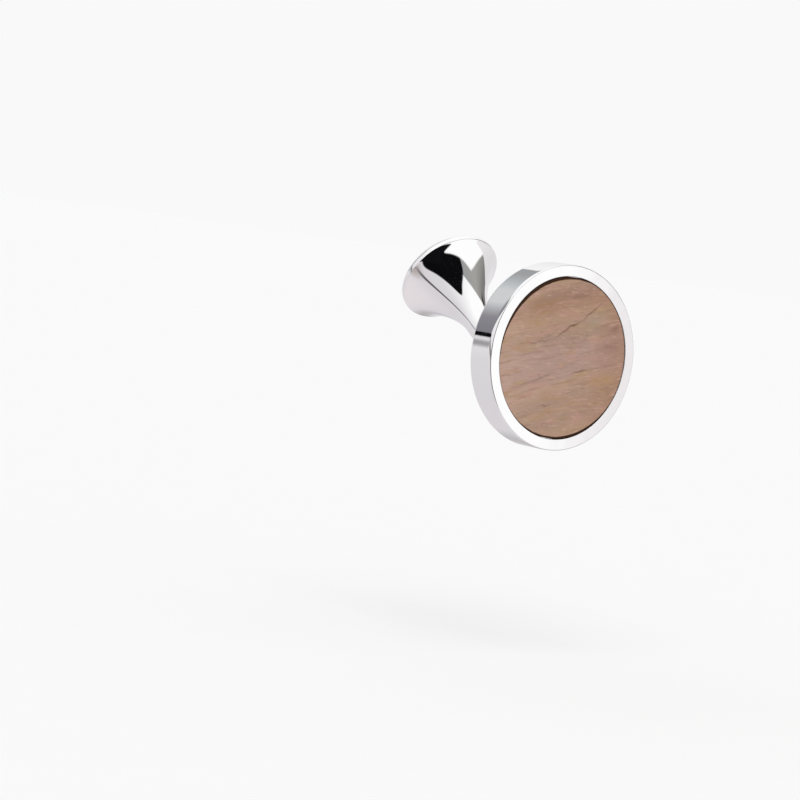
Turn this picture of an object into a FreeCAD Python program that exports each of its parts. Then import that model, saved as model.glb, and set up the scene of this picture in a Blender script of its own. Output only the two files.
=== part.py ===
"""A fixed-back cufflink: a polished metal cup with a wooden disc, on a bent stem with a button back.

Millimetres. The origin is where the middle of the stem leaves the back of the cup. The cup's
axis is Y and its open face looks to -Y. The stem runs to +Y and bends up to +Z.
"""
import FreeCAD, Part
import math
import os

from FreeCAD import Base

# Cup
HEAD_DIAMETER = 16.0
RIM_WIDTH = 1.0
FLOOR_THICKNESS = 0.8
RIM_EDGE_ROUND = 2.5
RIM_EDGE_SWEEP = 10.5
BACK_EDGE_ROUND = 0.3
POCKET_LIP_CHAMFER = 0.06

# Wooden disc, set a little below the rim on a film of adhesive
INLAY_THICKNESS = 1.9
INLAY_EDGE_CHAMFER = 0.05
INLAY_RECESS = 0.05
INLAY_CLEARANCE = 0.04
ADHESIVE_THICKNESS = 0.1
ADHESIVE_SETBACK = 0.3

# Stem
POST_DIAMETER = 2.55
POST_STRAIGHT = 3.6
BEND_RADIUS = 9.3
BEND_ANGLE = 35.5
FLARE_LENGTH = 6.2
FLARE_NECK_PULL = 2.1
FLARE_RIM_PULL = 1.5
FLARE_RIM_RISE = 1.2
BUTTON_DIAMETER = 9.25
BUTTON_RIM_THICKNESS = 0.4
BUTTON_EDGE_ROUND = 0.4
DOME_HEIGHT = 2.2

# Joint between stem and cup
SPIGOT_DIAMETER = 1.8
SPIGOT_CLEARANCE = 0.04
SPIGOT_SHY = 0.05
SOLDER_WIDTH = 0.5
SOLDER_DEPTH = 0.4

# Places that follow from these sizes
HEAD_RADIUS = HEAD_DIAMETER / 2
POCKET_RADIUS = HEAD_RADIUS - RIM_WIDTH
INLAY_RADIUS = POCKET_RADIUS - INLAY_CLEARANCE
POST_RADIUS = POST_DIAMETER / 2
BUTTON_RADIUS = BUTTON_DIAMETER / 2
SPIGOT_RADIUS = SPIGOT_DIAMETER / 2
SPIGOT_HOLE_RADIUS = SPIGOT_RADIUS + SPIGOT_CLEARANCE
FLOOR_Y = -FLOOR_THICKNESS
INLAY_BACK_Y = FLOOR_Y - ADHESIVE_THICKNESS
INLAY_FRONT_Y = INLAY_BACK_Y - INLAY_THICKNESS
RIM_Y = INLAY_FRONT_Y - INLAY_RECESS

AXIS_POINT = Base.Vector(0, 0, 0)
HEAD_AXIS = Base.Vector(0, 1, 0)
FULL_TURN = 360


def profile_point(radius, along):
    """A point of a profile that is turned about the Y axis."""
    return Base.Vector(radius, along, 0)


def straight_edges(points):
    """Line edges from each point to the next."""
    return [Part.LineSegment(a, b).toShape() for a, b in zip(points, points[1:])]


def quarter_round(start, corner, end):
    """A quarter circle from start to end, tangent to the two sides that meet at corner."""
    centre = start + end - corner
    radius = (start - centre).Length
    middle = centre + (corner - centre).normalize() * radius
    return Part.Arc(start, middle, end).toShape()


def round_point(centre, radius, angle):
    """A point of a profile's arc, at an angle from the Y axis."""
    return centre + profile_point(math.sin(angle), math.cos(angle)) * radius


def turned(edges):
    """The solid that a closed profile sweeps round the Y axis."""
    face = Part.Face(Part.Wire(edges))
    return face.revolve(AXIS_POINT, HEAD_AXIS, FULL_TURN)


def rim_round_point(share):
    """A point of the rim's outer rounding, from 0 at the wall to 1 where the flat cuts it off."""
    sweep = math.radians(RIM_EDGE_SWEEP)
    centre = profile_point(HEAD_RADIUS - RIM_EDGE_ROUND, RIM_Y + RIM_EDGE_ROUND * math.sin(sweep))
    angle = sweep * share
    return centre + profile_point(math.cos(angle), -math.sin(angle)) * RIM_EDGE_ROUND


def bezel_cup():
    """The cup: floor with the spigot's hole and its countersink, wall, and rounded, flat-faced rim."""
    back_inner = profile_point(SPIGOT_HOLE_RADIUS, 0)
    back_outer = profile_point(HEAD_RADIUS - BACK_EDGE_ROUND, 0)
    wall_back = profile_point(HEAD_RADIUS, -BACK_EDGE_ROUND)
    wall_front = rim_round_point(0)
    rim_outer = rim_round_point(1)
    rim_inner = profile_point(POCKET_RADIUS + POCKET_LIP_CHAMFER, RIM_Y)
    pocket_mouth = profile_point(POCKET_RADIUS, RIM_Y + POCKET_LIP_CHAMFER)
    pocket_corner = profile_point(POCKET_RADIUS, FLOOR_Y)
    countersink_mouth = profile_point(SPIGOT_RADIUS + SOLDER_WIDTH, FLOOR_Y)
    countersink_root = profile_point(SPIGOT_HOLE_RADIUS, FLOOR_Y + SOLDER_DEPTH)
    edges = straight_edges([back_inner, back_outer])
    edges.append(quarter_round(back_outer, profile_point(HEAD_RADIUS, 0), wall_back))
    edges += straight_edges([wall_back, wall_front])
    edges.append(Part.Arc(wall_front, rim_round_point(0.5), rim_outer).toShape())
    inside = [rim_outer, rim_inner, pocket_mouth, pocket_corner, countersink_mouth, countersink_root]
    edges += straight_edges(inside + [back_inner])
    return turned(edges)


def wood_inlay():
    """The disc, with its front edge broken by a small chamfer."""
    outline = [
        profile_point(0, INLAY_BACK_Y),
        profile_point(INLAY_RADIUS, INLAY_BACK_Y),
        profile_point(INLAY_RADIUS, INLAY_FRONT_Y + INLAY_EDGE_CHAMFER),
        profile_point(INLAY_RADIUS - INLAY_EDGE_CHAMFER, INLAY_FRONT_Y),
        profile_point(0, INLAY_FRONT_Y),
    ]
    return turned(straight_edges(outline + outline[:1]))


def inlay_adhesive():
    """The film between the cup's floor and the disc."""
    film_radius = INLAY_RADIUS - ADHESIVE_SETBACK
    start = Base.Vector(0, INLAY_BACK_Y, 0)
    return Part.makeCylinder(film_radius, ADHESIVE_THICKNESS, start, HEAD_AXIS)


def solder_ring():
    """The solder that fills the countersink round the spigot, level with the cup's floor."""
    outline = [
        profile_point(SPIGOT_RADIUS, FLOOR_Y),
        profile_point(SPIGOT_RADIUS + SOLDER_WIDTH, FLOOR_Y),
        profile_point(SPIGOT_HOLE_RADIUS, FLOOR_Y + SOLDER_DEPTH),
        profile_point(SPIGOT_RADIUS, FLOOR_Y + SOLDER_DEPTH),
    ]
    return turned(straight_edges(outline + outline[:1]))


def straight_post():
    """The spigot that goes through the cup's floor and the straight run behind it."""
    spigot_end = FLOOR_Y + SPIGOT_SHY
    spigot = Part.makeCylinder(SPIGOT_RADIUS, -spigot_end, Base.Vector(0, spigot_end, 0), HEAD_AXIS)
    run = Part.makeCylinder(POST_RADIUS, POST_STRAIGHT, AXIS_POINT, HEAD_AXIS)
    return spigot.fuse(run)


def post_bend():
    """The round bar bent up from the end of the straight run."""
    start = Base.Vector(0, POST_STRAIGHT, 0)
    section = Part.Face(Part.Wire(Part.Circle(start, HEAD_AXIS, POST_RADIUS).toShape()))
    bend_centre = start + Base.Vector(0, 0, BEND_RADIUS)
    return section.revolve(bend_centre, Base.Vector(1, 0, 0), BEND_ANGLE)


def flared_button():
    """The flare and the domed button with its rounded rim, made along Y and set on the end of the bend."""
    neck = profile_point(POST_RADIUS, 0)
    rim_start = profile_point(BUTTON_RADIUS, FLARE_LENGTH)
    dome_top = profile_point(0, FLARE_LENGTH + BUTTON_RIM_THICKNESS + DOME_HEIGHT)
    flare = Part.BezierCurve()
    flare.setPoles([
        neck,
        profile_point(POST_RADIUS, FLARE_NECK_PULL),
        profile_point(BUTTON_RADIUS - FLARE_RIM_PULL, FLARE_LENGTH - FLARE_RIM_RISE),
        rim_start,
    ])
    dome_radius = (BUTTON_RADIUS ** 2 + DOME_HEIGHT ** 2) / (2 * DOME_HEIGHT)
    dome_centre = profile_point(0, dome_top.y - dome_radius)
    round_width = BUTTON_RADIUS - BUTTON_EDGE_ROUND
    round_rise = math.sqrt((dome_radius - BUTTON_EDGE_ROUND) ** 2 - round_width ** 2)
    round_centre = dome_centre + profile_point(round_width, round_rise)
    dome_angle = math.atan2(round_width, round_rise)
    rim_angle = math.pi / 2
    rim_end = round_point(round_centre, BUTTON_EDGE_ROUND, rim_angle)
    round_middle = round_point(round_centre, BUTTON_EDGE_ROUND, (rim_angle + dome_angle) / 2)
    dome_start = round_point(dome_centre, dome_radius, dome_angle)
    dome_middle = round_point(dome_centre, dome_radius, dome_angle / 2)
    edges = straight_edges([AXIS_POINT, neck])
    edges.append(flare.toShape())
    edges += straight_edges([rim_start, rim_end])
    edges.append(Part.Arc(rim_end, round_middle, dome_start).toShape())
    edges.append(Part.Arc(dome_start, dome_middle, dome_top).toShape())
    edges += straight_edges([dome_top, AXIS_POINT])
    button = turned(edges)
    turn = math.radians(BEND_ANGLE)
    end_y = POST_STRAIGHT + BEND_RADIUS * math.sin(turn)
    end_z = BEND_RADIUS * (1 - math.cos(turn))
    tilt = Base.Rotation(Base.Vector(1, 0, 0), BEND_ANGLE)
    button.Placement = Base.Placement(Base.Vector(0, end_y, end_z), tilt)
    return button


def stem():
    """Spigot, post, bend and flared button as one casting."""
    return straight_post().fuse([post_bend(), flared_button()]).removeSplitter()


PIECES = {
    "bezel_cup": bezel_cup,
    "wood_inlay": wood_inlay,
    "inlay_adhesive": inlay_adhesive,
    "solder_ring": solder_ring,
    "stem": stem,
}

os.makedirs("parts", exist_ok=True)
for name, make in PIECES.items():
    shape = make()
    shape.exportStep(f"parts/{name}.step")
    box = shape.optimalBoundingBox()
    print(f"{name}: {len(shape.Solids)} solid, valid {shape.isValid()}, {shape.Volume:.2f} mm3, "
          f"X {box.XMin:.2f} to {box.XMax:.2f}, Y {box.YMin:.2f} to {box.YMax:.2f}, "
          f"Z {box.ZMin:.2f} to {box.ZMax:.2f}")
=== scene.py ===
# %% [markdown]
# # A cufflink with a walnut face
# The imported model holds the true sizes and places of the cufflink's five pieces. This lesson gives them
# their looks: buffed metal, oiled wood and the light of a small photo tent. The model is loaded first, as a
# frame that never moves.

# %% Load the imported model
import math

import bmesh
import bpy
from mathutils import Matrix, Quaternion, Vector


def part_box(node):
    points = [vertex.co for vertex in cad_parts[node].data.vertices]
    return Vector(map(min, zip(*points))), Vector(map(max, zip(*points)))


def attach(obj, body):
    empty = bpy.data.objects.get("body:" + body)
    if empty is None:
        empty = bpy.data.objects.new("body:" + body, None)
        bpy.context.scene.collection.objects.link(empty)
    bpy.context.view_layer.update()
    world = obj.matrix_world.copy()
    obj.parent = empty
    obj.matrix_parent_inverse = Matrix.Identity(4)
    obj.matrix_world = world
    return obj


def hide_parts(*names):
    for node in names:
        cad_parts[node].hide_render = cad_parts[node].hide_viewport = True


MM = 0.001
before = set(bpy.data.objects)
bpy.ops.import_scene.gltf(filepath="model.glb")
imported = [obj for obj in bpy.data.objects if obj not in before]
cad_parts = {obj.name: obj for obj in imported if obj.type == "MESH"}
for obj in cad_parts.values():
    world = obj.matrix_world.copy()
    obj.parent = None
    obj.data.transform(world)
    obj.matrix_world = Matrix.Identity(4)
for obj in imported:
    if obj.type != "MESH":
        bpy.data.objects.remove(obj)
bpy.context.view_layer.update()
print("nodes:", sorted(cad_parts))

# %% [markdown]
# A mirror shows every flat spot of a mesh, and the model's own triangles are loose and plain. So the cup,
# the disc and the stem are modelled again here, with closed, finely stepped meshes. Their main sizes are
# read from the boxes of the nodes that they replace. Sizes that no box tells are written in millimetres.

# %% Read the sizes from the frame
cup_low, cup_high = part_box("bezel_cup")
HEAD_RADIUS = (cup_high.x - cup_low.x) / 2
RIM_Y = cup_low.y
BACK_Y = cup_high.y

disc_low, disc_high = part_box("wood_inlay")
INLAY_RADIUS = (disc_high.x - disc_low.x) / 2
INLAY_FRONT_Y = disc_low.y
INLAY_BACK_Y = disc_high.y

film_low, film_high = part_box("inlay_adhesive")
FLOOR_Y = film_high.y

solder_low, solder_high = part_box("solder_ring")
COUNTERSINK_RADIUS = (solder_high.x - solder_low.x) / 2
COUNTERSINK_DEPTH = solder_high.y - solder_low.y

stem_low, stem_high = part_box("stem")
BUTTON_RADIUS = (stem_high.x - stem_low.x) / 2
SPIGOT_END_Y = stem_low.y
print(f"head {2 * HEAD_RADIUS / MM:.2f} mm, disc {2 * INLAY_RADIUS / MM:.2f} mm, "
      f"button {2 * BUTTON_RADIUS / MM:.2f} mm across")

# %% [markdown]
# Modelling by hand means: add a primitive, open it in edit mode, pick a face or a ring of edges, and use a
# tool on it. Small helpers do the same in code. One opens a new primitive with its place put into its mesh.
# One picks by a test, as a click would, and one extrudes what is picked. The last ones close a piece:
# doubles merged, faces turned outwards, all that is round shaded smooth, and the mesh counted.

# %% Helpers to open a piece, pick and extrude
NEAR = 0.002 * MM
STRAIGHT_ON = 0.999
SQUARE_TO_CUP = (math.radians(90), 0, 0)
CUP_AXIS = Vector((0, 1, 0))


def open_primitive(add, **settings):
    """Add a primitive with nothing else selected and open it in edit mode."""
    bpy.ops.object.select_all(action="DESELECT")
    add(**settings)
    bpy.ops.object.transform_apply(location=True, rotation=True, scale=True)
    bpy.ops.object.mode_set(mode="EDIT")
    return bpy.context.object


def pick(kind, test):
    """Select only those faces or edges of the open piece that pass the test."""
    bpy.ops.mesh.select_mode(type=kind)
    bpy.ops.mesh.select_all(action="DESELECT")
    mesh = bpy.context.edit_object.data
    shape = bmesh.from_edit_mesh(mesh)
    for part in shape.faces if kind == "FACE" else shape.edges:
        part.select_set(test(part))
    shape.select_flush_mode()
    bmesh.update_edit_mesh(mesh)


def on_ring(centre, axis, radius):
    """A test for edges that lie on a circle."""
    def lies_there(corner):
        arm = corner.co - centre
        along = arm.dot(axis)
        return abs(along) < NEAR and abs((arm - along * axis).length - radius) < NEAR
    return lambda edge: all(lies_there(corner) for corner in edge.verts)


def facing(direction, along):
    """A test for flat faces that look in a direction and lie so far along it."""
    def passes(face):
        there = face.calc_center_median().dot(direction)
        return face.normal.dot(direction) > STRAIGHT_ON and abs(there - along) < NEAR
    return passes


def extend(step, centre, growth=1.0):
    """Extrude what is picked by a step, then widen or narrow it about its new centre."""
    bpy.ops.mesh.extrude_region_move(TRANSFORM_OT_translate={"value": step})
    bpy.ops.transform.resize(value=(growth, growth, growth), center_override=centre)


print("faces and edges count as found within", NEAR / MM, "mm")

# %% Helpers to close a piece and describe it
SAME_POINT = 0.0002 * MM
SMOOTH_BELOW = math.radians(40)


def close_piece(name):
    """Merge doubles, turn the faces outwards, shade the piece and name it."""
    bpy.ops.mesh.select_all(action="SELECT")
    bpy.ops.mesh.remove_doubles(threshold=SAME_POINT)
    bpy.ops.mesh.normals_make_consistent(inside=False)
    bpy.ops.object.mode_set(mode="OBJECT")
    bpy.ops.object.shade_smooth_by_angle(angle=SMOOTH_BELOW)
    piece = bpy.context.object
    piece.name = name
    piece.data.name = name
    return piece


def keep_flats_flat(piece):
    """Let the faces beside a bevel set the shading, so that flat metal mirrors as flat metal."""
    bpy.ops.object.modifier_add(type="WEIGHTED_NORMAL")
    piece.modifiers[-1].keep_sharp = True
    piece.modifiers[-1].mode = "CORNER_ANGLE"
    piece.modifiers[-1].use_face_influence = True
    bpy.ops.object.modifier_apply(modifier=piece.modifiers[-1].name)


def describe(piece):
    """Print a piece's number of triangles, its size, and whether its mesh is closed."""
    shape = bmesh.new()
    shape.from_mesh(piece.data)
    triangles = len(shape.calc_loop_triangles())
    open_edges = sum(not edge.is_manifold for edge in shape.edges)
    volume = shape.calc_volume(signed=True) / MM ** 3
    shape.free()
    size = [round(side / MM, 2) for side in piece.dimensions]
    print(f"{piece.name}: {triangles} triangles, {size} mm, {volume:.1f} mm3, {open_edges} open edges")


print("edges flatter than", round(math.degrees(SMOOTH_BELOW)), "degrees are shaded smooth")

# %% [markdown]
# ## The cup
# The head of the cufflink is a shallow metal cup that holds the wooden disc. It is a turned shape, so a
# spun profile would do, but a cylinder that is inset and extruded shows how the cup would be machined. The
# wall's front edge is rounded by buffing, and then the rim is faced flat, which cuts the rounding off and
# leaves a crisp line. So the rounding is extruded in steps and stops short, and the pocket sinks in behind
# the flat. The small edges come last, because a bevel follows the finished corner all the way round.

# %% Turn the cup and round its front edge
RING_SIDES = 256
RIM_EDGE_ROUND = 2.5 * MM
RIM_EDGE_SWEEP = math.radians(10.5)
RIM_ROUND_STEPS = 10
WALL_FRONT_Y = RIM_Y + RIM_EDGE_ROUND * math.sin(RIM_EDGE_SWEEP)

cup = open_primitive(
    bpy.ops.mesh.primitive_cylinder_add,
    vertices=RING_SIDES,
    radius=HEAD_RADIUS,
    depth=BACK_Y - WALL_FRONT_Y,
    location=(0, (BACK_Y + WALL_FRONT_Y) / 2, 0),
    rotation=SQUARE_TO_CUP,
)
pick("FACE", facing(-CUP_AXIS, -WALL_FRONT_Y))
reached = WALL_FRONT_Y
width = HEAD_RADIUS
for step in range(1, RIM_ROUND_STEPS + 1):
    angle = RIM_EDGE_SWEEP * step / RIM_ROUND_STEPS
    there = WALL_FRONT_Y - RIM_EDGE_ROUND * math.sin(angle)
    radius = HEAD_RADIUS - RIM_EDGE_ROUND * (1 - math.cos(angle))
    extend((0, there - reached, 0), (0, there, 0), radius / width)
    reached = there
    width = radius
FLAT_RADIUS = width
print(f"rim is flat inside {FLAT_RADIUS / MM:.2f} mm radius")

# %% Sink the pocket
RIM_WIDTH = 1.0 * MM
POCKET_RADIUS = HEAD_RADIUS - RIM_WIDTH
bpy.ops.mesh.inset(thickness=FLAT_RADIUS - POCKET_RADIUS)
bpy.ops.mesh.extrude_region_move(TRANSFORM_OT_translate={"value": (0, FLOOR_Y - RIM_Y, 0)})
print(f"pocket {2 * POCKET_RADIUS / MM:.1f} mm wide and {(FLOOR_Y - RIM_Y) / MM:.2f} mm deep")

# %% Countersink the floor and open the hole for the stem
SPIGOT_HOLE_RADIUS = 0.94 * MM
bpy.ops.mesh.inset(thickness=POCKET_RADIUS - COUNTERSINK_RADIUS)
bpy.ops.mesh.extrude_region_move(TRANSFORM_OT_translate={"value": (0, COUNTERSINK_DEPTH, 0)})
countersink_root = Vector((0, FLOOR_Y + COUNTERSINK_DEPTH, 0))
narrowing = SPIGOT_HOLE_RADIUS / COUNTERSINK_RADIUS
bpy.ops.transform.resize(value=(narrowing, 1, narrowing), center_override=countersink_root)

pick("FACE", facing(CUP_AXIS, BACK_Y))
bpy.ops.mesh.inset(thickness=HEAD_RADIUS - SPIGOT_HOLE_RADIUS)
# Only the two round lids over the hole still have so many corners. All other faces have four.
pick("FACE", lambda face: len(face.verts) == RING_SIDES)
bpy.ops.mesh.bridge_edge_loops()
print(f"hole {2 * SPIGOT_HOLE_RADIUS / MM:.2f} mm wide")

# %% Break the edges
FLAT_EDGE_BREAK = 0.08 * MM
BACK_EDGE_ROUND = 0.3 * MM
POCKET_LIP_CHAMFER = 0.06 * MM
FINE_STEPS = 3
BACK_STEPS = 8
rim_centre = Vector((0, RIM_Y, 0))
back_centre = Vector((0, BACK_Y, 0))
# Each edge: the centre and radius of its ring, how wide it is broken, and in how many steps.
EDGES = [
    (rim_centre, FLAT_RADIUS, FLAT_EDGE_BREAK, FINE_STEPS),
    (back_centre, HEAD_RADIUS, BACK_EDGE_ROUND, BACK_STEPS),
    (rim_centre, POCKET_RADIUS, POCKET_LIP_CHAMFER, FINE_STEPS),
]
for centre, radius, width, steps in EDGES:
    pick("EDGE", on_ring(centre, CUP_AXIS, radius))
    bpy.ops.mesh.bevel(offset=width, segments=steps, affect="EDGES", face_strength_mode="AFFECTED")
cup = close_piece("polished_cup")
keep_flats_flat(cup)
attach(cup, "root")
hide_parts("bezel_cup")
describe(cup)

# %% [markdown]
# ## The wooden disc
# The disc is a slice of walnut, laser-cut to the pocket and sanded flat. It could stay a plain cylinder,
# but its front edge is broken by a small chamfer that catches a line of light, and rings on its face keep
# the triangles well shaped.

# %% Cut the disc
INLAY_EDGE_CHAMFER = 0.05 * MM
CHAMFER_STEPS = 2
FACE_RINGS = 4

disc = open_primitive(
    bpy.ops.mesh.primitive_cylinder_add,
    vertices=RING_SIDES,
    radius=INLAY_RADIUS,
    depth=INLAY_BACK_Y - INLAY_FRONT_Y,
    location=(0, (INLAY_BACK_Y + INLAY_FRONT_Y) / 2, 0),
    rotation=SQUARE_TO_CUP,
)
pick("EDGE", on_ring(Vector((0, INLAY_FRONT_Y, 0)), CUP_AXIS, INLAY_RADIUS))
bpy.ops.mesh.bevel(
    offset=INLAY_EDGE_CHAMFER,
    segments=CHAMFER_STEPS,
    affect="EDGES",
    face_strength_mode="AFFECTED",
)
for direction, along in ((-CUP_AXIS, -INLAY_FRONT_Y), (CUP_AXIS, INLAY_BACK_Y)):
    pick("FACE", facing(direction, along))
    for ring in range(FACE_RINGS):
        bpy.ops.mesh.inset(thickness=INLAY_RADIUS / (FACE_RINGS + 1))
    bpy.ops.mesh.poke()
disc = close_piece("walnut_disc")
keep_flats_flat(disc)
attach(disc, "root")
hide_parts("wood_inlay")
describe(disc)

# %% [markdown]
# ## The stem
# Post, bend and button are one casting. A thin spigot at its front goes through the cup's floor. Behind
# the cup a round bar runs straight, bends to one side, flares like a trumpet and ends in a domed button.
# A curve with a bevel object could draw the bar, but not the flare, so a ring of edges is led along the
# whole way: extruded, spun round the bend, and then extruded and widened step by step.

# %% Lead a ring along the post and round the bend
POST_SIDES = 128
POST_RADIUS = 1.275 * MM
SPIGOT_RADIUS = 0.9 * MM
POST_STRAIGHT = 3.6 * MM
BEND_RADIUS = 9.3 * MM
BEND_ANGLE = math.radians(35.5)
STRAIGHT_STEPS = 6
BEND_STEPS = 28

stem = open_primitive(
    bpy.ops.mesh.primitive_circle_add,
    vertices=POST_SIDES,
    radius=SPIGOT_RADIUS,
    location=(0, SPIGOT_END_Y, 0),
    rotation=SQUARE_TO_CUP,
)
spigot_end = Vector((0, SPIGOT_END_Y, 0))
pick("EDGE", on_ring(spigot_end, CUP_AXIS, SPIGOT_RADIUS))
extend(back_centre - spigot_end, back_centre)
extend((0, 0, 0), back_centre, POST_RADIUS / SPIGOT_RADIUS)
for step in range(STRAIGHT_STEPS):
    extend((0, POST_STRAIGHT / STRAIGHT_STEPS, 0), back_centre)
bend_start = Vector((0, POST_STRAIGHT, 0))
bend_centre = bend_start + Vector((0, 0, BEND_RADIUS))
# The spin tool turns against the right-hand rule, so its axis is -X where the bend turns about +X.
bpy.ops.mesh.spin(steps=BEND_STEPS, angle=BEND_ANGLE, center=bend_centre, axis=(-1, 0, 0))
bend_turn = Quaternion((1, 0, 0), BEND_ANGLE)
bend_end = bend_centre + bend_turn @ (bend_start - bend_centre)
button_axis = bend_turn @ CUP_AXIS
print("bend ends at", [round(place / MM, 2) for place in bend_end], "mm")

# %% Flare the ring into the button, and close it with the dome
FLARE_LENGTH = 6.2 * MM
FLARE_NECK_PULL = 2.1 * MM
FLARE_RIM_PULL = 1.5 * MM
FLARE_RIM_RISE = 1.2 * MM
BUTTON_RIM_THICKNESS = 0.4 * MM
BUTTON_EDGE_ROUND = 0.4 * MM
DOME_HEIGHT = 2.2 * MM
FLARE_STEPS = 32
ROUND_STEPS = 10
DOME_STEPS = 24


def flare(t):
    """How far along the button's axis the flare is, and how wide: t is 0 at its neck and 1 at its rim."""
    near_neck = 3 * t * (1 - t) ** 2
    near_rim = 3 * t ** 2 * (1 - t)
    along = near_neck * FLARE_NECK_PULL + near_rim * (FLARE_LENGTH - FLARE_RIM_RISE)
    along += t ** 3 * FLARE_LENGTH
    radius = ((1 - t) ** 3 + near_neck) * POST_RADIUS
    radius += near_rim * (BUTTON_RADIUS - FLARE_RIM_PULL) + t ** 3 * BUTTON_RADIUS
    return along, radius


def arc(centre, radius, angle):
    """How far along the button's axis a point of an arc is, and how wide, at an angle from the axis."""
    return centre[0] + radius * math.cos(angle), centre[1] + radius * math.sin(angle)


dome_top = FLARE_LENGTH + BUTTON_RIM_THICKNESS + DOME_HEIGHT
dome_radius = (BUTTON_RADIUS ** 2 + DOME_HEIGHT ** 2) / (2 * DOME_HEIGHT)
dome_centre = (dome_top - dome_radius, 0)
round_width = BUTTON_RADIUS - BUTTON_EDGE_ROUND
round_rise = math.sqrt((dome_radius - BUTTON_EDGE_ROUND) ** 2 - round_width ** 2)
round_centre = (dome_centre[0] + round_rise, round_width)
dome_spread = math.atan2(round_width, round_rise)
sideways = math.pi / 2
rounding = sideways - dome_spread

stations = [flare(step / FLARE_STEPS) for step in range(1, FLARE_STEPS + 1)]
for step in range(ROUND_STEPS):
    stations.append(arc(round_centre, BUTTON_EDGE_ROUND, sideways - rounding * step / ROUND_STEPS))
for step in range(DOME_STEPS, 0, -1):
    stations.append(arc(dome_centre, dome_radius, dome_spread * step / DOME_STEPS))
reached = 0.0
width = POST_RADIUS
for along, radius in stations:
    extend(button_axis * (along - reached), bend_end + button_axis * along, radius / width)
    reached = along
    width = radius
bpy.ops.mesh.extrude_region_move(TRANSFORM_OT_translate={"value": button_axis * (dome_top - reached)})
bpy.ops.mesh.merge(type="COLLAPSE")
print(len(stations), "rings from the neck to the dome's top")

# %% Close the spigot's end and break the flare's edge
FLARE_EDGE_BREAK = 0.06 * MM
FLARE_EDGE_STEPS = 4
pick("EDGE", on_ring(spigot_end, CUP_AXIS, SPIGOT_RADIUS))
bpy.ops.mesh.edge_face_add()
pick("EDGE", on_ring(bend_end + button_axis * FLARE_LENGTH, button_axis, BUTTON_RADIUS))
bpy.ops.mesh.bevel(offset=FLARE_EDGE_BREAK, segments=FLARE_EDGE_STEPS, affect="EDGES")
stem = close_piece("flared_stem")
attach(stem, "root")
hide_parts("stem")
describe(stem)

# %% [markdown]
# ## Materials
# A material is a small graph of nodes. One function adds a node with its settings and links, so that a
# graph reads as a list of steps. Colours are written as sRGB hex values, as a paint program shows them,
# and turned to the linear values that a renderer works with. A few steps come back again and again, so
# they get functions too: a noise of a given size, a value spread from low to high, two colours blended by
# a share, and a ramp of tones.

# %% Helpers to add nodes
def linear(hex_colour):
    """An sRGB hex colour as linear red, green, blue and alpha, by the curve that sRGB defines."""
    levels = [int(hex_colour[start:start + 2], 16) / 255 for start in (1, 3, 5)]
    light = [((level + 0.055) / 1.055) ** 2.4 if level > 0.04045 else level / 12.92 for level in levels]
    return (*light, 1)


def plug_in(tree, node, inputs):
    """Set a node's inputs, each to a value or to another node's output."""
    for socket, value in inputs.items():
        if isinstance(value, bpy.types.NodeSocket):
            tree.links.new(value, node.inputs[socket])
        else:
            node.inputs[socket].default_value = value


def add_node(tree, kind, inputs=None, **settings):
    """Add a node: settings are its own properties, inputs are values or the outputs to link to them."""
    made = tree.nodes.new(kind)
    for name, value in settings.items():
        setattr(made, name, value)
    plug_in(tree, made, inputs or {})
    return made


def new_finish(name):
    """A material with a shader, and the piece's own coordinates to draw patterns on."""
    material = bpy.data.materials.new(name)
    material.use_nodes = True
    tree = material.node_tree
    tree.nodes.clear()
    place = add_node(tree, "ShaderNodeTexCoord").outputs["Object"]
    shader = add_node(tree, "ShaderNodeBsdfPrincipled")
    add_node(tree, "ShaderNodeOutputMaterial", {"Surface": shader.outputs["BSDF"]})
    return material, tree, place, shader


print("one function adds every node")

# %% Helpers for the steps that come back
COLOUR_A = 6
COLOUR_B = 7
MIXED_COLOUR = 2


def noise(tree, place, size, detail):
    """A cloudy pattern from 0 to 1, with clouds of such a size."""
    clouds = add_node(tree, "ShaderNodeTexNoise", {"Vector": place, "Scale": 1 / size, "Detail": detail})
    return clouds.outputs[0]


def calculate(tree, operation, *values):
    """The result of a small sum on values or outputs."""
    return add_node(tree, "ShaderNodeMath", dict(enumerate(values)), operation=operation).outputs[0]


def spread(tree, value, start, full, low=0, high=1, shape="LINEAR"):
    """Goes from low to high while the value goes from start to full, and stays level outside them."""
    return add_node(tree, "ShaderNodeMapRange", {
        "Value": value,
        "From Min": start,
        "From Max": full,
        "To Min": low,
        "To Max": high,
    }, interpolation_type=shape).outputs[0]


def blend(tree, share, under, over):
    """A colour with another one laid over it by a share from 0 to 1."""
    return add_node(tree, "ShaderNodeMix", {
        0: share,
        COLOUR_A: under,
        COLOUR_B: over,
    }, data_type="RGBA").outputs[MIXED_COLOUR]


def along_ramp(value, reach):
    """Where a value between -reach and reach lies on a ramp from 0 to 1."""
    return (value + reach) / (2 * reach)


def tones_along(tree, value, stops):
    """The tone at a value from 0 to 1 on a ramp of tones, each with its place."""
    ramp = add_node(tree, "ShaderNodeValToRGB", {"Fac": value})
    tones = ramp.color_ramp.elements
    for end in (0, -1):
        tones[end].position = stops[end][0]
        tones[end].color = linear(stops[end][1])
    for position, tone in stops[1:-1]:
        tones.new(position).color = linear(tone)
    return ramp.outputs["Color"]


print("steps for noise, sums, spreads, blends and ramps")

# %% [markdown]
# ### Mirror-buffed plating
# The metal is cast brass with a thin bright plating, buffed on cloth wheels until it is a mirror. What the
# eye sees is the room and not the metal: a clean, cool white with very sharp reflections. Only a faint
# haze and a slight waviness tell that a hand did the buffing. So the shader is a metal of very low
# roughness, and three noises vary its tone and its haze and bend the reflections a little.

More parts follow.
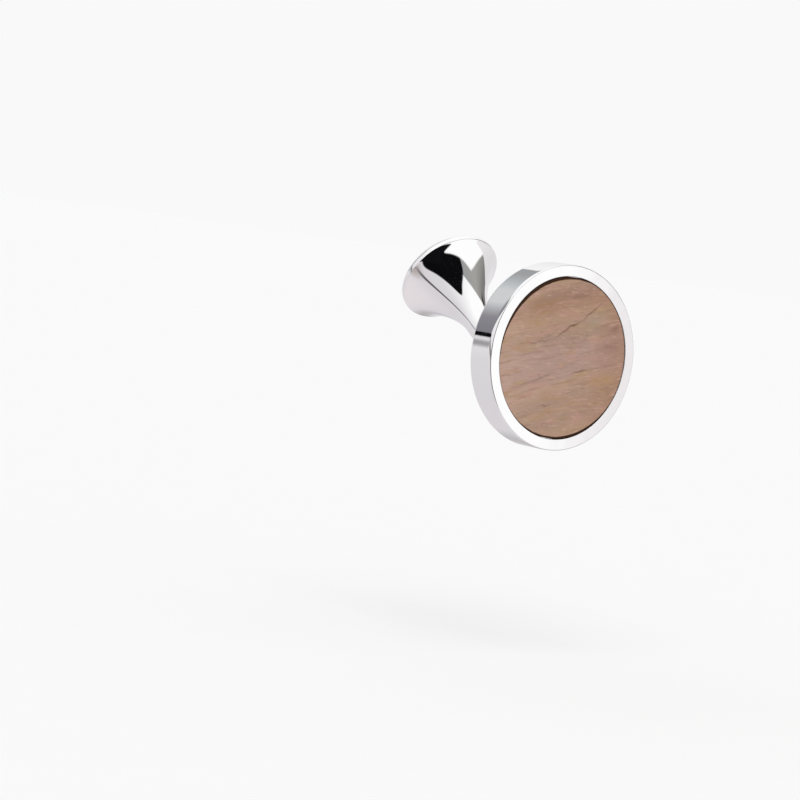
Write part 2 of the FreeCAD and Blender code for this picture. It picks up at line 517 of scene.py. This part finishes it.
# %% Plating
PLATING_TONE = "#F8F8F8"
PLATING_SHADE = "#F2F2F2"
CLOUD_SIZE = 4.0 * MM
HAZE_SIZE = 0.6 * MM
WAVE_SIZE = 2.2 * MM
WAVE_HEIGHT = 0.004 * MM
CLEAR_BELOW = 0.35
HAZY_ABOVE = 0.75
CLEAR_ROUGHNESS = 0.02
HAZY_ROUGHNESS = 0.06

plating, tree, place, shader = new_finish("bright_plating_mirror_buffed")
clouds = noise(tree, place, CLOUD_SIZE, detail=3)
haze = noise(tree, place, HAZE_SIZE, detail=4)
waves = noise(tree, place, WAVE_SIZE, detail=1)
waviness = add_node(tree, "ShaderNodeBump", {"Height": waves, "Distance": WAVE_HEIGHT})
plug_in(tree, shader, {
    "Metallic": 1,
    "Base Color": blend(tree, clouds, linear(PLATING_SHADE), linear(PLATING_TONE)),
    "Roughness": spread(tree, haze, CLEAR_BELOW, HAZY_ABOVE, CLEAR_ROUGHNESS, HAZY_ROUGHNESS),
    "Normal": waviness.outputs[0],
})
for piece in (cup, stem):
    piece.data.materials.append(plating)
print(plating.name, "has", len(tree.nodes), "nodes")

# %% [markdown]
# ### Oiled walnut
# Walnut is a mid-brown wood with tan and rosy bands, thin dark growth lines and fine pores that look like
# short pencil strokes. One noise could give all of that at once, but it would look like marble. So the
# figure is drawn as it grew. Broad bands cross the disc and rise to the right, on a ramp of tones that is
# swayed a little. Fibres and pores lie flatter than the bands, in layers of stretched noise. A few growth
# lines are set one by one, each a long thin mark with a ragged edge. The laser that cut the disc burnt its
# edge, and painted shade of the gap between the disc and the rim darkens the same ring. The clean wood inside
# is slightly oval, so the dark ring is wider at the upper left and at the bottom, and it has no sheen.

# %% Grain coordinates
BAND_ANGLE = math.radians(15)
FIBRE_ANGLE = math.radians(5)
SWAY_SIZE = 4.5 * MM
SWAY_REACH = 0.5 * MM


def shake(tree, place, size, detail, reach):
    """Coordinates that a noise pushes up and down by up to its reach."""
    push = spread(tree, noise(tree, place, size, detail), 0, 1, -reach, reach)
    upwards = add_node(tree, "ShaderNodeCombineXYZ", {"Z": push}).outputs[0]
    return add_node(tree, "ShaderNodeVectorMath", {0: place, 1: upwards}).outputs[0]


walnut, tree, place, shader = new_finish("walnut_sanded_and_oiled")
swayed = shake(tree, place, SWAY_SIZE, detail=1, reach=SWAY_REACH)
banded, fibred = (
    add_node(tree, "ShaderNodeMapping", {"Vector": swayed, "Rotation": (0, angle, 0)}).outputs[0]
    for angle in (BAND_ANGLE, FIBRE_ANGLE)
)
print(f"bands rise by {math.degrees(BAND_ANGLE):.0f} degrees, fibres by {math.degrees(FIBRE_ANGLE):.0f}")

# %% Bands of the wood
PEACH = "#B08F7B"
ROSE = "#A98A7D"
TAN = "#A98870"
DUN = "#A0826F"
OCHRE = "#9F7A60"
BROWN = "#987563"
BANDS_REACH = 7.0
# Each band: its middle, in millimetres up from the disc's middle, and its tone.
BANDS = [
    (-6.2, TAN), (-5.3, DUN), (-4.5, TAN), (-3.7, DUN), (-2.5, PEACH), (-1.4, ROSE),
    (0.8, ROSE), (1.9, DUN), (3.3, TAN), (4.5, OCHRE), (5.3, BROWN), (6.2, TAN),
]
across = add_node(tree, "ShaderNodeSeparateXYZ", {"Vector": banded}).outputs["Z"]
share = spread(tree, across, -BANDS_REACH * MM, BANDS_REACH * MM)
colour = tones_along(tree, share, [(along_ramp(middle, BANDS_REACH), tone) for middle, tone in BANDS])
print(len(BANDS), "bands")

# %% Redder heart to the right, paler sapwood to the left
HEART = "#98694C"
SAPWOOD = "#C8A692"
# Each side: its colour, how far right of the disc's middle it starts and is full, in millimetres, and how
# strongly it covers.
SIDES = [(HEART, 1.5, 7.0, 0.5), (SAPWOOD, -1.0, -7.0, 0.3)]
to_the_right = add_node(tree, "ShaderNodeSeparateXYZ", {"Vector": swayed}).outputs["X"]
for side_colour, start, full, cover in SIDES:
    side = spread(tree, to_the_right, start * MM, full * MM, high=cover, shape="SMOOTHSTEP")
    colour = blend(tree, side, colour, linear(side_colour))
print("heart", HEART, "and sapwood", SAPWOOD)

# %% Streaks, fibres and pores
ROSY_FLUSH = "#B5897A"
OCHRE_FLUSH = "#A58258"
STREAK = "#8C6A58"
PALE_FIBRE = "#C8A890"
PORE = "#5E4236"
PORE_COVER = 0.5
# Each layer: the grain that it follows, its colour, the length, width and detail of its strokes, the noise
# values where it starts and is full, and how strongly it covers.
LAYERS = [
    (banded, ROSY_FLUSH, 2.2 * MM, 0.7 * MM, 2, 0.50, 0.68, 0.6),
    (banded, OCHRE_FLUSH, 2.8 * MM, 0.6 * MM, 2, 0.54, 0.70, 0.55),
    (banded, STREAK, 3.2 * MM, 0.28 * MM, 3, 0.52, 0.72, 0.6),
    (fibred, PALE_FIBRE, 0.9 * MM, 0.13 * MM, 2, 0.57, 0.72, 0.4),
    (fibred, PORE, 0.7 * MM, 0.1 * MM, 2, 0.62, 0.74, PORE_COVER),
]
for grain, stroke_colour, length, width, detail, start, full, cover in LAYERS:
    stretched = add_node(tree, "ShaderNodeMapping", {
        "Vector": grain,
        "Scale": (1 / length, 1 / width, 1 / width),
    })
    strokes = noise(tree, stretched.outputs[0], 1, detail)
    amount = spread(tree, strokes, start, full, high=cover)
    colour = blend(tree, amount, colour, linear(stroke_colour))
pores = amount
print(len(LAYERS), "layers of strokes")

# %% Growth lines and knotty patches
GROWTH_LINE = "#663B28"
RUSSET = "#835F50"
UMBER = "#8F6A48"
ASH = "#A08C76"
JAG_SIZE = 0.7 * MM
JAG_REACH = 0.3 * MM
BREAK_SIZE = 0.8 * MM
BREAK_START = 0.6
BREAK_FULL = 0.3
BREAK_LEAVES = 0.45
# Each mark: its colour, how far right and up of the disc's middle it lies, how many degrees it rises to the
# right, its half length and half width, in millimetres, and how strongly it covers.
MARKS = [
    (UMBER, -2.9, 4.2, 10, 2.5, 1.0, 0.75),
    (OCHRE_FLUSH, -3.8, 2.7, 8, 1.9, 0.6, 0.6),
    (RUSSET, 0.8, 5.4, 14, 2.6, 0.4, 0.6),
    (ASH, 3.2, 3.5, 30, 2.4, 1.0, 0.7),
    (ROSY_FLUSH, 0.3, 3.9, 12, 2.2, 0.7, 0.6),
    (RUSSET, 5.4, 3.0, 35, 1.1, 0.6, 0.7),
    (RUSSET, 5.0, 1.3, 15, 2.0, 0.7, 0.55),
    (OCHRE_FLUSH, 4.6, -1.6, 10, 2.6, 0.9, 0.8),
    (ROSY_FLUSH, 2.6, -5.0, 12, 1.7, 0.6, 0.6),
    (GROWTH_LINE, 2.7, 4.35, 42, 2.6, 0.15, 0.65),
    (GROWTH_LINE, 0.8, 2.95, 24, 1.4, 0.17, 1.0),
    (GROWTH_LINE, -0.4, 2.2, 38, 1.3, 0.17, 0.85),
    (GROWTH_LINE, -3.2, 1.1, 11, 2.6, 0.13, 0.5),
    (GROWTH_LINE, 2.0, -1.0, 17, 1.2, 0.16, 0.95),
    (GROWTH_LINE, -2.3, -1.9, 23, 2.1, 0.13, 0.6),
    (GROWTH_LINE, -1.4, -4.2, 8, 1.2, 0.14, 0.55),
]


def oval(tree, place, middle, rise, half_length, half_width):
    """How far out a place lies from the middle of an oval that rises to the right: 1 is its outline."""
    own = add_node(tree, "ShaderNodeMapping", {
        "Vector": place,
        "Location": (middle[0], 0, middle[1]),
        "Rotation": (0, -rise, 0),
        "Scale": (half_length, 1, half_width),
    }, vector_type="TEXTURE")
    return add_node(tree, "ShaderNodeVectorMath", {0: own.outputs[0]}, operation="LENGTH").outputs["Value"]


jagged = shake(tree, place, JAG_SIZE, detail=4, reach=JAG_REACH)
breaks = noise(tree, place, BREAK_SIZE, detail=2)
unbroken = spread(tree, breaks, BREAK_FULL, BREAK_START, low=BREAK_LEAVES)
for mark_colour, right, up, rise, half_length, half_width, cover in MARKS:
    away = oval(tree, jagged, (right * MM, up * MM), math.radians(rise), half_length * MM, half_width * MM)
    mark = spread(tree, away, 1, 0, high=cover, shape="SMOOTHSTEP")
    amount = calculate(tree, "MULTIPLY", mark, unbroken)
    colour = blend(tree, amount, colour, linear(mark_colour))
print(len(MARKS), "marks")

# %% Burnt edge and painted shade of the gap
# A dark ring round the disc: partly the laser's burn, partly painted shade of the gap between the disc and
# the rim.
BURNT_AND_GAP_SHADE = "#3A281E"
CLEAN_ANGLE = math.radians(24)
CLEAN_MIDDLE = (0.12 * MM, 0)
CLEAN_LENGTH = 7.08 * MM
CLEAN_WIDTH = 6.67 * MM
DARK_RING_FADE = 0.07 * MM
RING_RAG_SIZE = 0.5 * MM
RING_RAG_REACH = 0.08 * MM
outwards = oval(tree, place, CLEAN_MIDDLE, CLEAN_ANGLE, CLEAN_LENGTH, CLEAN_WIDTH)
ring_rag = noise(tree, place, RING_RAG_SIZE, detail=3)
ragged = calculate(tree, "MULTIPLY_ADD", ring_rag, RING_RAG_REACH / CLEAN_WIDTH, outwards)
dark_ring_start = 1 + RING_RAG_REACH / 2 / CLEAN_WIDTH
burnt_and_gap_shade = spread(tree, ragged, dark_ring_start, dark_ring_start + DARK_RING_FADE / CLEAN_WIDTH)
# Painted shade of the gap, together with the burn, darkens the ring.
colour = blend(tree, burnt_and_gap_shade, colour, linear(BURNT_AND_GAP_SHADE))
print("clean wood", round(2 * CLEAN_LENGTH / MM, 2), "by", round(2 * CLEAN_WIDTH / MM, 2), "mm")

# %% Sheen and relief of the wood
PORE_DEPTH = 0.012 * MM
OILED_SHINE = 0.5
DARK_RING_SHINE = 0.0
OILED_ROUGHNESS = 0.42
OPEN_PORE_ROUGHNESS = 0.7
OIL_IOR = 1.48
relief = add_node(tree, "ShaderNodeBump", {"Height": pores, "Distance": PORE_DEPTH}, invert=True)
plug_in(tree, shader, {
    "Base Color": colour,
    "Roughness": spread(tree, pores, 0, PORE_COVER, OILED_ROUGHNESS, OPEN_PORE_ROUGHNESS),
    "Specular IOR Level": spread(tree, burnt_and_gap_shade, 0, 1, OILED_SHINE, DARK_RING_SHINE),
    "IOR": OIL_IOR,
    "Normal": relief.outputs[0],
})
disc.data.materials.append(walnut)
print(walnut.name, "has", len(tree.nodes), "nodes")

# %% [markdown]
# ### Epoxy and silver solder
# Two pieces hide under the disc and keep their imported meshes: the film of clear epoxy, which cures slightly
# yellow and cloudy, and the ring of silver solder, which is a greyer, duller metal than the plating, with
# the ripples that it froze in.

# %% Epoxy
EPOXY_CLEAR = "#D8CBA0"
EPOXY_CLOUDY = "#E6DFC8"
EPOXY_CLOUD_SIZE = 1.5 * MM
EPOXY_ROUGHNESS = 0.15
EPOXY_IOR = 1.55
epoxy, tree, place, shader = new_finish("epoxy_cured_clear")
clouds = noise(tree, place, EPOXY_CLOUD_SIZE, detail=4)
plug_in(tree, shader, {
    "Base Color": blend(tree, clouds, linear(EPOXY_CLEAR), linear(EPOXY_CLOUDY)),
    "Roughness": EPOXY_ROUGHNESS,
    "IOR": EPOXY_IOR,
})
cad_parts["inlay_adhesive"].material_slots[0].material = epoxy
print(epoxy.name, "is on the film under the disc")

# %% Solder
SOLDER_BRIGHT = "#CDC9C2"
SOLDER_DULL = "#A8A299"
RIPPLE_SIZE = 0.3 * MM
RIPPLE_HEIGHT = 0.01 * MM
DULL_ROUGHNESS = 0.5
BRIGHT_ROUGHNESS = 0.25
solder, tree, place, shader = new_finish("silver_solder_as_it_flowed")
ripples = noise(tree, place, RIPPLE_SIZE, detail=4)
relief = add_node(tree, "ShaderNodeBump", {"Height": ripples, "Distance": RIPPLE_HEIGHT})
plug_in(tree, shader, {
    "Metallic": 1,
    "Base Color": blend(tree, ripples, linear(SOLDER_DULL), linear(SOLDER_BRIGHT)),
    "Roughness": spread(tree, ripples, 0, 1, DULL_ROUGHNESS, BRIGHT_ROUGHNESS),
    "Normal": relief.outputs[0],
})
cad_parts["solder_ring"].material_slots[0].material = solder
print(solder.name, "is on the ring round the spigot")

# %% [markdown]
# ## Camera
# The camera stands where the photographer stood: in front, to the left, hardly higher than the cufflink,
# and tilted a little. A long lens keeps the round shapes calm. The place was found by laying the model's
# outline over the photograph's.

# %% Place the camera
CAMERA_PLACE = Vector((-155.36, -182.96, 7.82)) * MM
CAMERA_AIM = Vector((-9.39, 6.83, -5.52)) * MM
CAMERA_ROLL = math.radians(7.7)
CAMERA_LENS = 125.3
NEAREST_SEEN = 0.01
FARTHEST_SEEN = 100
backwards = CAMERA_PLACE - CAMERA_AIM
turn = backwards.to_track_quat("Z", "Y") @ Quaternion((0, 0, 1), CAMERA_ROLL)
bpy.ops.object.camera_add(location=CAMERA_PLACE, rotation=turn.to_euler())
camera = bpy.context.object
camera.data.lens = CAMERA_LENS
camera.data.clip_start = NEAREST_SEEN
camera.data.clip_end = FARTHEST_SEEN
bpy.context.scene.camera = camera
print("camera", round(backwards.length / MM), "mm from what it looks at")

# %% [markdown]
# ## Floor and tent
# The cufflink hangs a little above a pale floor, so its shadow is faint and soft. Polished metal shows
# what surrounds it, and here that is a white tent: brighter above, a little greyer below. Real cloth would
# have to be modelled and lit, but the world's own colour can be painted by direction instead, which costs
# no geometry and stays clear of the floor.

# %% Floor
FLOOR_PALE = "#F9F9F9"
FLOOR_GREY = "#F8F8F8"
FLOOR_PAPER_SIZE = 4 * MM
FLOOR_HEIGHT = -26.5 * MM
FLOOR_WIDTH = 60
floor = open_primitive(bpy.ops.mesh.primitive_plane_add, size=FLOOR_WIDTH, location=(0, 0, FLOOR_HEIGHT))
bpy.ops.object.mode_set(mode="OBJECT")
floor.name = "floor"
floor.visible_glossy = False
paper, tree, place, shader = new_finish("matt_white_paper")
fibres = noise(tree, place, FLOOR_PAPER_SIZE, detail=2)
plug_in(tree, shader, {
    "Base Color": blend(tree, fibres, linear(FLOOR_GREY), linear(FLOOR_PALE)),
    "Roughness": 1,
    "Specular IOR Level": 0,
})
floor.data.materials.append(paper)
print("floor", round(-FLOOR_HEIGHT / MM, 1), "mm below the post")

# %% Tent
STRAIGHT_UP = 90
# Each tone of the tent: how many degrees above the horizon it is, and its colour.
TENT = [
    (-90, "#E2DCDE"), (-60, "#E0DADD"), (-40, "#D6D2D6"), (-10, "#DAD7DA"), (15, "#EAE8EA"),
    (40, "#F8F8F8"), (50, "#FFFFFF"), (90, "#FFFFFF"),
]
world = bpy.data.worlds.new("white_tent")
world.use_nodes = True
bpy.context.scene.world = world
tree = world.node_tree
tree.nodes.clear()
direction = add_node(tree, "ShaderNodeTexCoord").outputs["Generated"]
height = add_node(tree, "ShaderNodeSeparateXYZ", {"Vector": direction}).outputs["Z"]
climb = calculate(tree, "ARCSINE", height)
upwards = spread(tree, climb, math.radians(-STRAIGHT_UP), math.radians(STRAIGHT_UP))
cloth = tones_along(tree, upwards, [(along_ramp(degrees, STRAIGHT_UP), tone) for degrees, tone in TENT])
print(len(TENT), "tones from floor to roof")

# %% [markdown]
# A mirror in a plain white tent would look like paper, so a photographer of silver hangs cards in it: black
# near the camera, grey above and behind, and a bright one in front. Planes could stand for them, but big
# ones cut through each other, so each card is painted on the tent over the ones before it. It is flat and
# faces the cufflink: a direction is turned to the card's own sides, and divided by how far it goes towards
# the card. Plain rectangles would leave hard, square reflections, so a card is more or less round, fades
# out at its edge, and may change its tone from left to right.

# %% Cards
# Each card: what it is, where it hangs as azimuth and elevation seen from the cufflink, its width and
# height as angles, its roll, all in degrees, how square its outline is (2 is an ellipse), how much of it
# fades, and its tones from left to right.
CARDS = [
    ("right_arch", 46, 17, 112, 74, 0, 4, 0.12, "#7A7876 #7E7C7A #A2A09C #9C9C9C #94969C"),
    ("right_stand", 87, 41, 20, 24, 20, 2, 0.8, "#2E2C2A"),
    ("camera_black", -28, 2, 66, 66, -8, 6, 0.1, "#0B0A0C"),
    ("front_softbox", 29, 3, 98, 66, 0, 1.15, 0.1, "#FFFFFF"),
    ("camera_black_low", -18, -17, 48, 38, -9, 6, 0.12, "#0F0E10"),
    ("front_right_pale", 76.5, -6, 72, 40, 0, 6, 0.05, "#DEDBDD #DEDBDD #E6E3E5 #EEEAEC"),
    ("front_floor_grey", -46, -45, 54, 30, 0, 2, 0.8, "#B4AAA8"),
    ("back_right_grey", 135, -27, 50, 44, 0, 2, 0.9, "#AFACAE"),
    ("left_rail", -104, -21, 112, 8, 36, 4, 0.6, "#5C5658"),
    ("back_sweep", -170.5, 25, 60, 42, 0, 8, 0.04,
     "#7A7880 #8A888E #CCCED0 #CCCED0 #B2B6B8 #9EA0A2 #9A9C9E"),
    ("back_left_grey", -141, 2.5, 12, 9, 0, 2, 0.9, "#9C9A9C"),
    ("back_left_black", -143, 9.5, 14, 4, 0, 3, 0.4, "#0C0A0E"),
]
print(len(CARDS), "cards, from", CARDS[0][0], "to", CARDS[-1][0])

# %% Paint the cards on the tent
BESIDE = 0.001


def card_turn(azimuth, elevation, roll):
    """The turn that brings a card's own z to where it hangs, with its sides along x and y."""
    round_about = math.radians(azimuth)
    upwards = math.radians(elevation)
    towards = Vector((
        math.sin(round_about) * math.cos(upwards),
        -math.cos(round_about) * math.cos(upwards),
        math.sin(upwards),
    ))
    return towards.to_track_quat("Z", "Y") @ Quaternion((0, 0, 1), math.radians(-roll))


for name, azimuth, elevation, wide, high, roll, square, fade, tones in CARDS:
    turned = add_node(tree, "ShaderNodeMapping", {
        "Vector": direction,
        "Rotation": card_turn(azimuth, elevation, roll).to_euler(),
        "Scale": (math.tan(math.radians(wide / 2)), math.tan(math.radians(high / 2)), 1),
    }, vector_type="TEXTURE", label=name)
    sides = add_node(tree, "ShaderNodeSeparateXYZ", {"Vector": turned.outputs[0]}).outputs
    ahead = calculate(tree, "MAXIMUM", sides["Z"], BESIDE)
    across = calculate(tree, "DIVIDE", sides["X"], ahead)
    upright = calculate(tree, "DIVIDE", sides["Y"], ahead)
    powers = [
        calculate(tree, "POWER", calculate(tree, "ABSOLUTE", side), square) for side in (across, upright)
    ]
    reach = calculate(tree, "POWER", calculate(tree, "ADD", *powers), 1 / square)
    shown = spread(tree, reach, 1, 1 - fade, shape="SMOOTHSTEP")
    tones = tones.split()
    last = max(1, len(tones) - 1)
    stops = [(spot / last, tone) for spot, tone in enumerate(tones)]
    wash = tones_along(tree, spread(tree, across, 1, -1), stops)
    cloth = blend(tree, shown, cloth, wash)
print("the tent has", len(tree.nodes), "nodes")

# %% [markdown]
# ## Light
# The world is three things at once. The camera sees a plain pale backdrop, mirrors see the tent with its
# cards, and everything else is lit by an even white, so the cards neither dim the wood nor colour it. One
# large soft lamp from above gives the floor its faint shadow.

# %% World
BACKDROP = "#F9F9F9"
WHITE = "#FFFFFF"
EVEN_LIGHT = 0.86
TENT_LIGHT = 1.08
rays = add_node(tree, "ShaderNodeLightPath")
tent = add_node(tree, "ShaderNodeBackground", {"Color": cloth, "Strength": TENT_LIGHT})
backdrop = add_node(tree, "ShaderNodeBackground", {"Color": linear(BACKDROP)})
even = add_node(tree, "ShaderNodeBackground", {"Color": linear(WHITE), "Strength": EVEN_LIGHT})
mirrored = calculate(tree, "MAXIMUM", rays.outputs["Is Glossy Ray"], rays.outputs["Is Transmission Ray"])
lit = add_node(tree, "ShaderNodeMixShader", {
    0: mirrored,
    1: even.outputs[0],
    2: tent.outputs[0],
})
seen = add_node(tree, "ShaderNodeMixShader", {
    0: rays.outputs["Is Camera Ray"],
    1: lit.outputs[0],
    2: backdrop.outputs[0],
})
add_node(tree, "ShaderNodeOutputWorld", {"Surface": seen.outputs[0]})
print("even light", EVEN_LIGHT, "and tent", TENT_LIGHT)

# %% Lamp
LAMP_STRENGTH = 0.62
LAMP_DIRECTION = Vector((-0.38, -0.52, 0.76))
LAMP_SPREAD = math.radians(45)
bpy.ops.object.light_add(type="SUN", rotation=LAMP_DIRECTION.to_track_quat("Z", "Y").to_euler())
lamp = bpy.context.object
lamp.name = "soft_lamp"
lamp.data.energy = LAMP_STRENGTH
lamp.data.angle = LAMP_SPREAD
lamp.visible_glossy = False
print("lamp", round(math.degrees(LAMP_SPREAD)), "degrees wide")

# %% [markdown]
# ## Finish
# Standard view transform keeps colours as they are written.

# %% Finish
bpy.context.scene.view_settings.view_transform = "Standard"
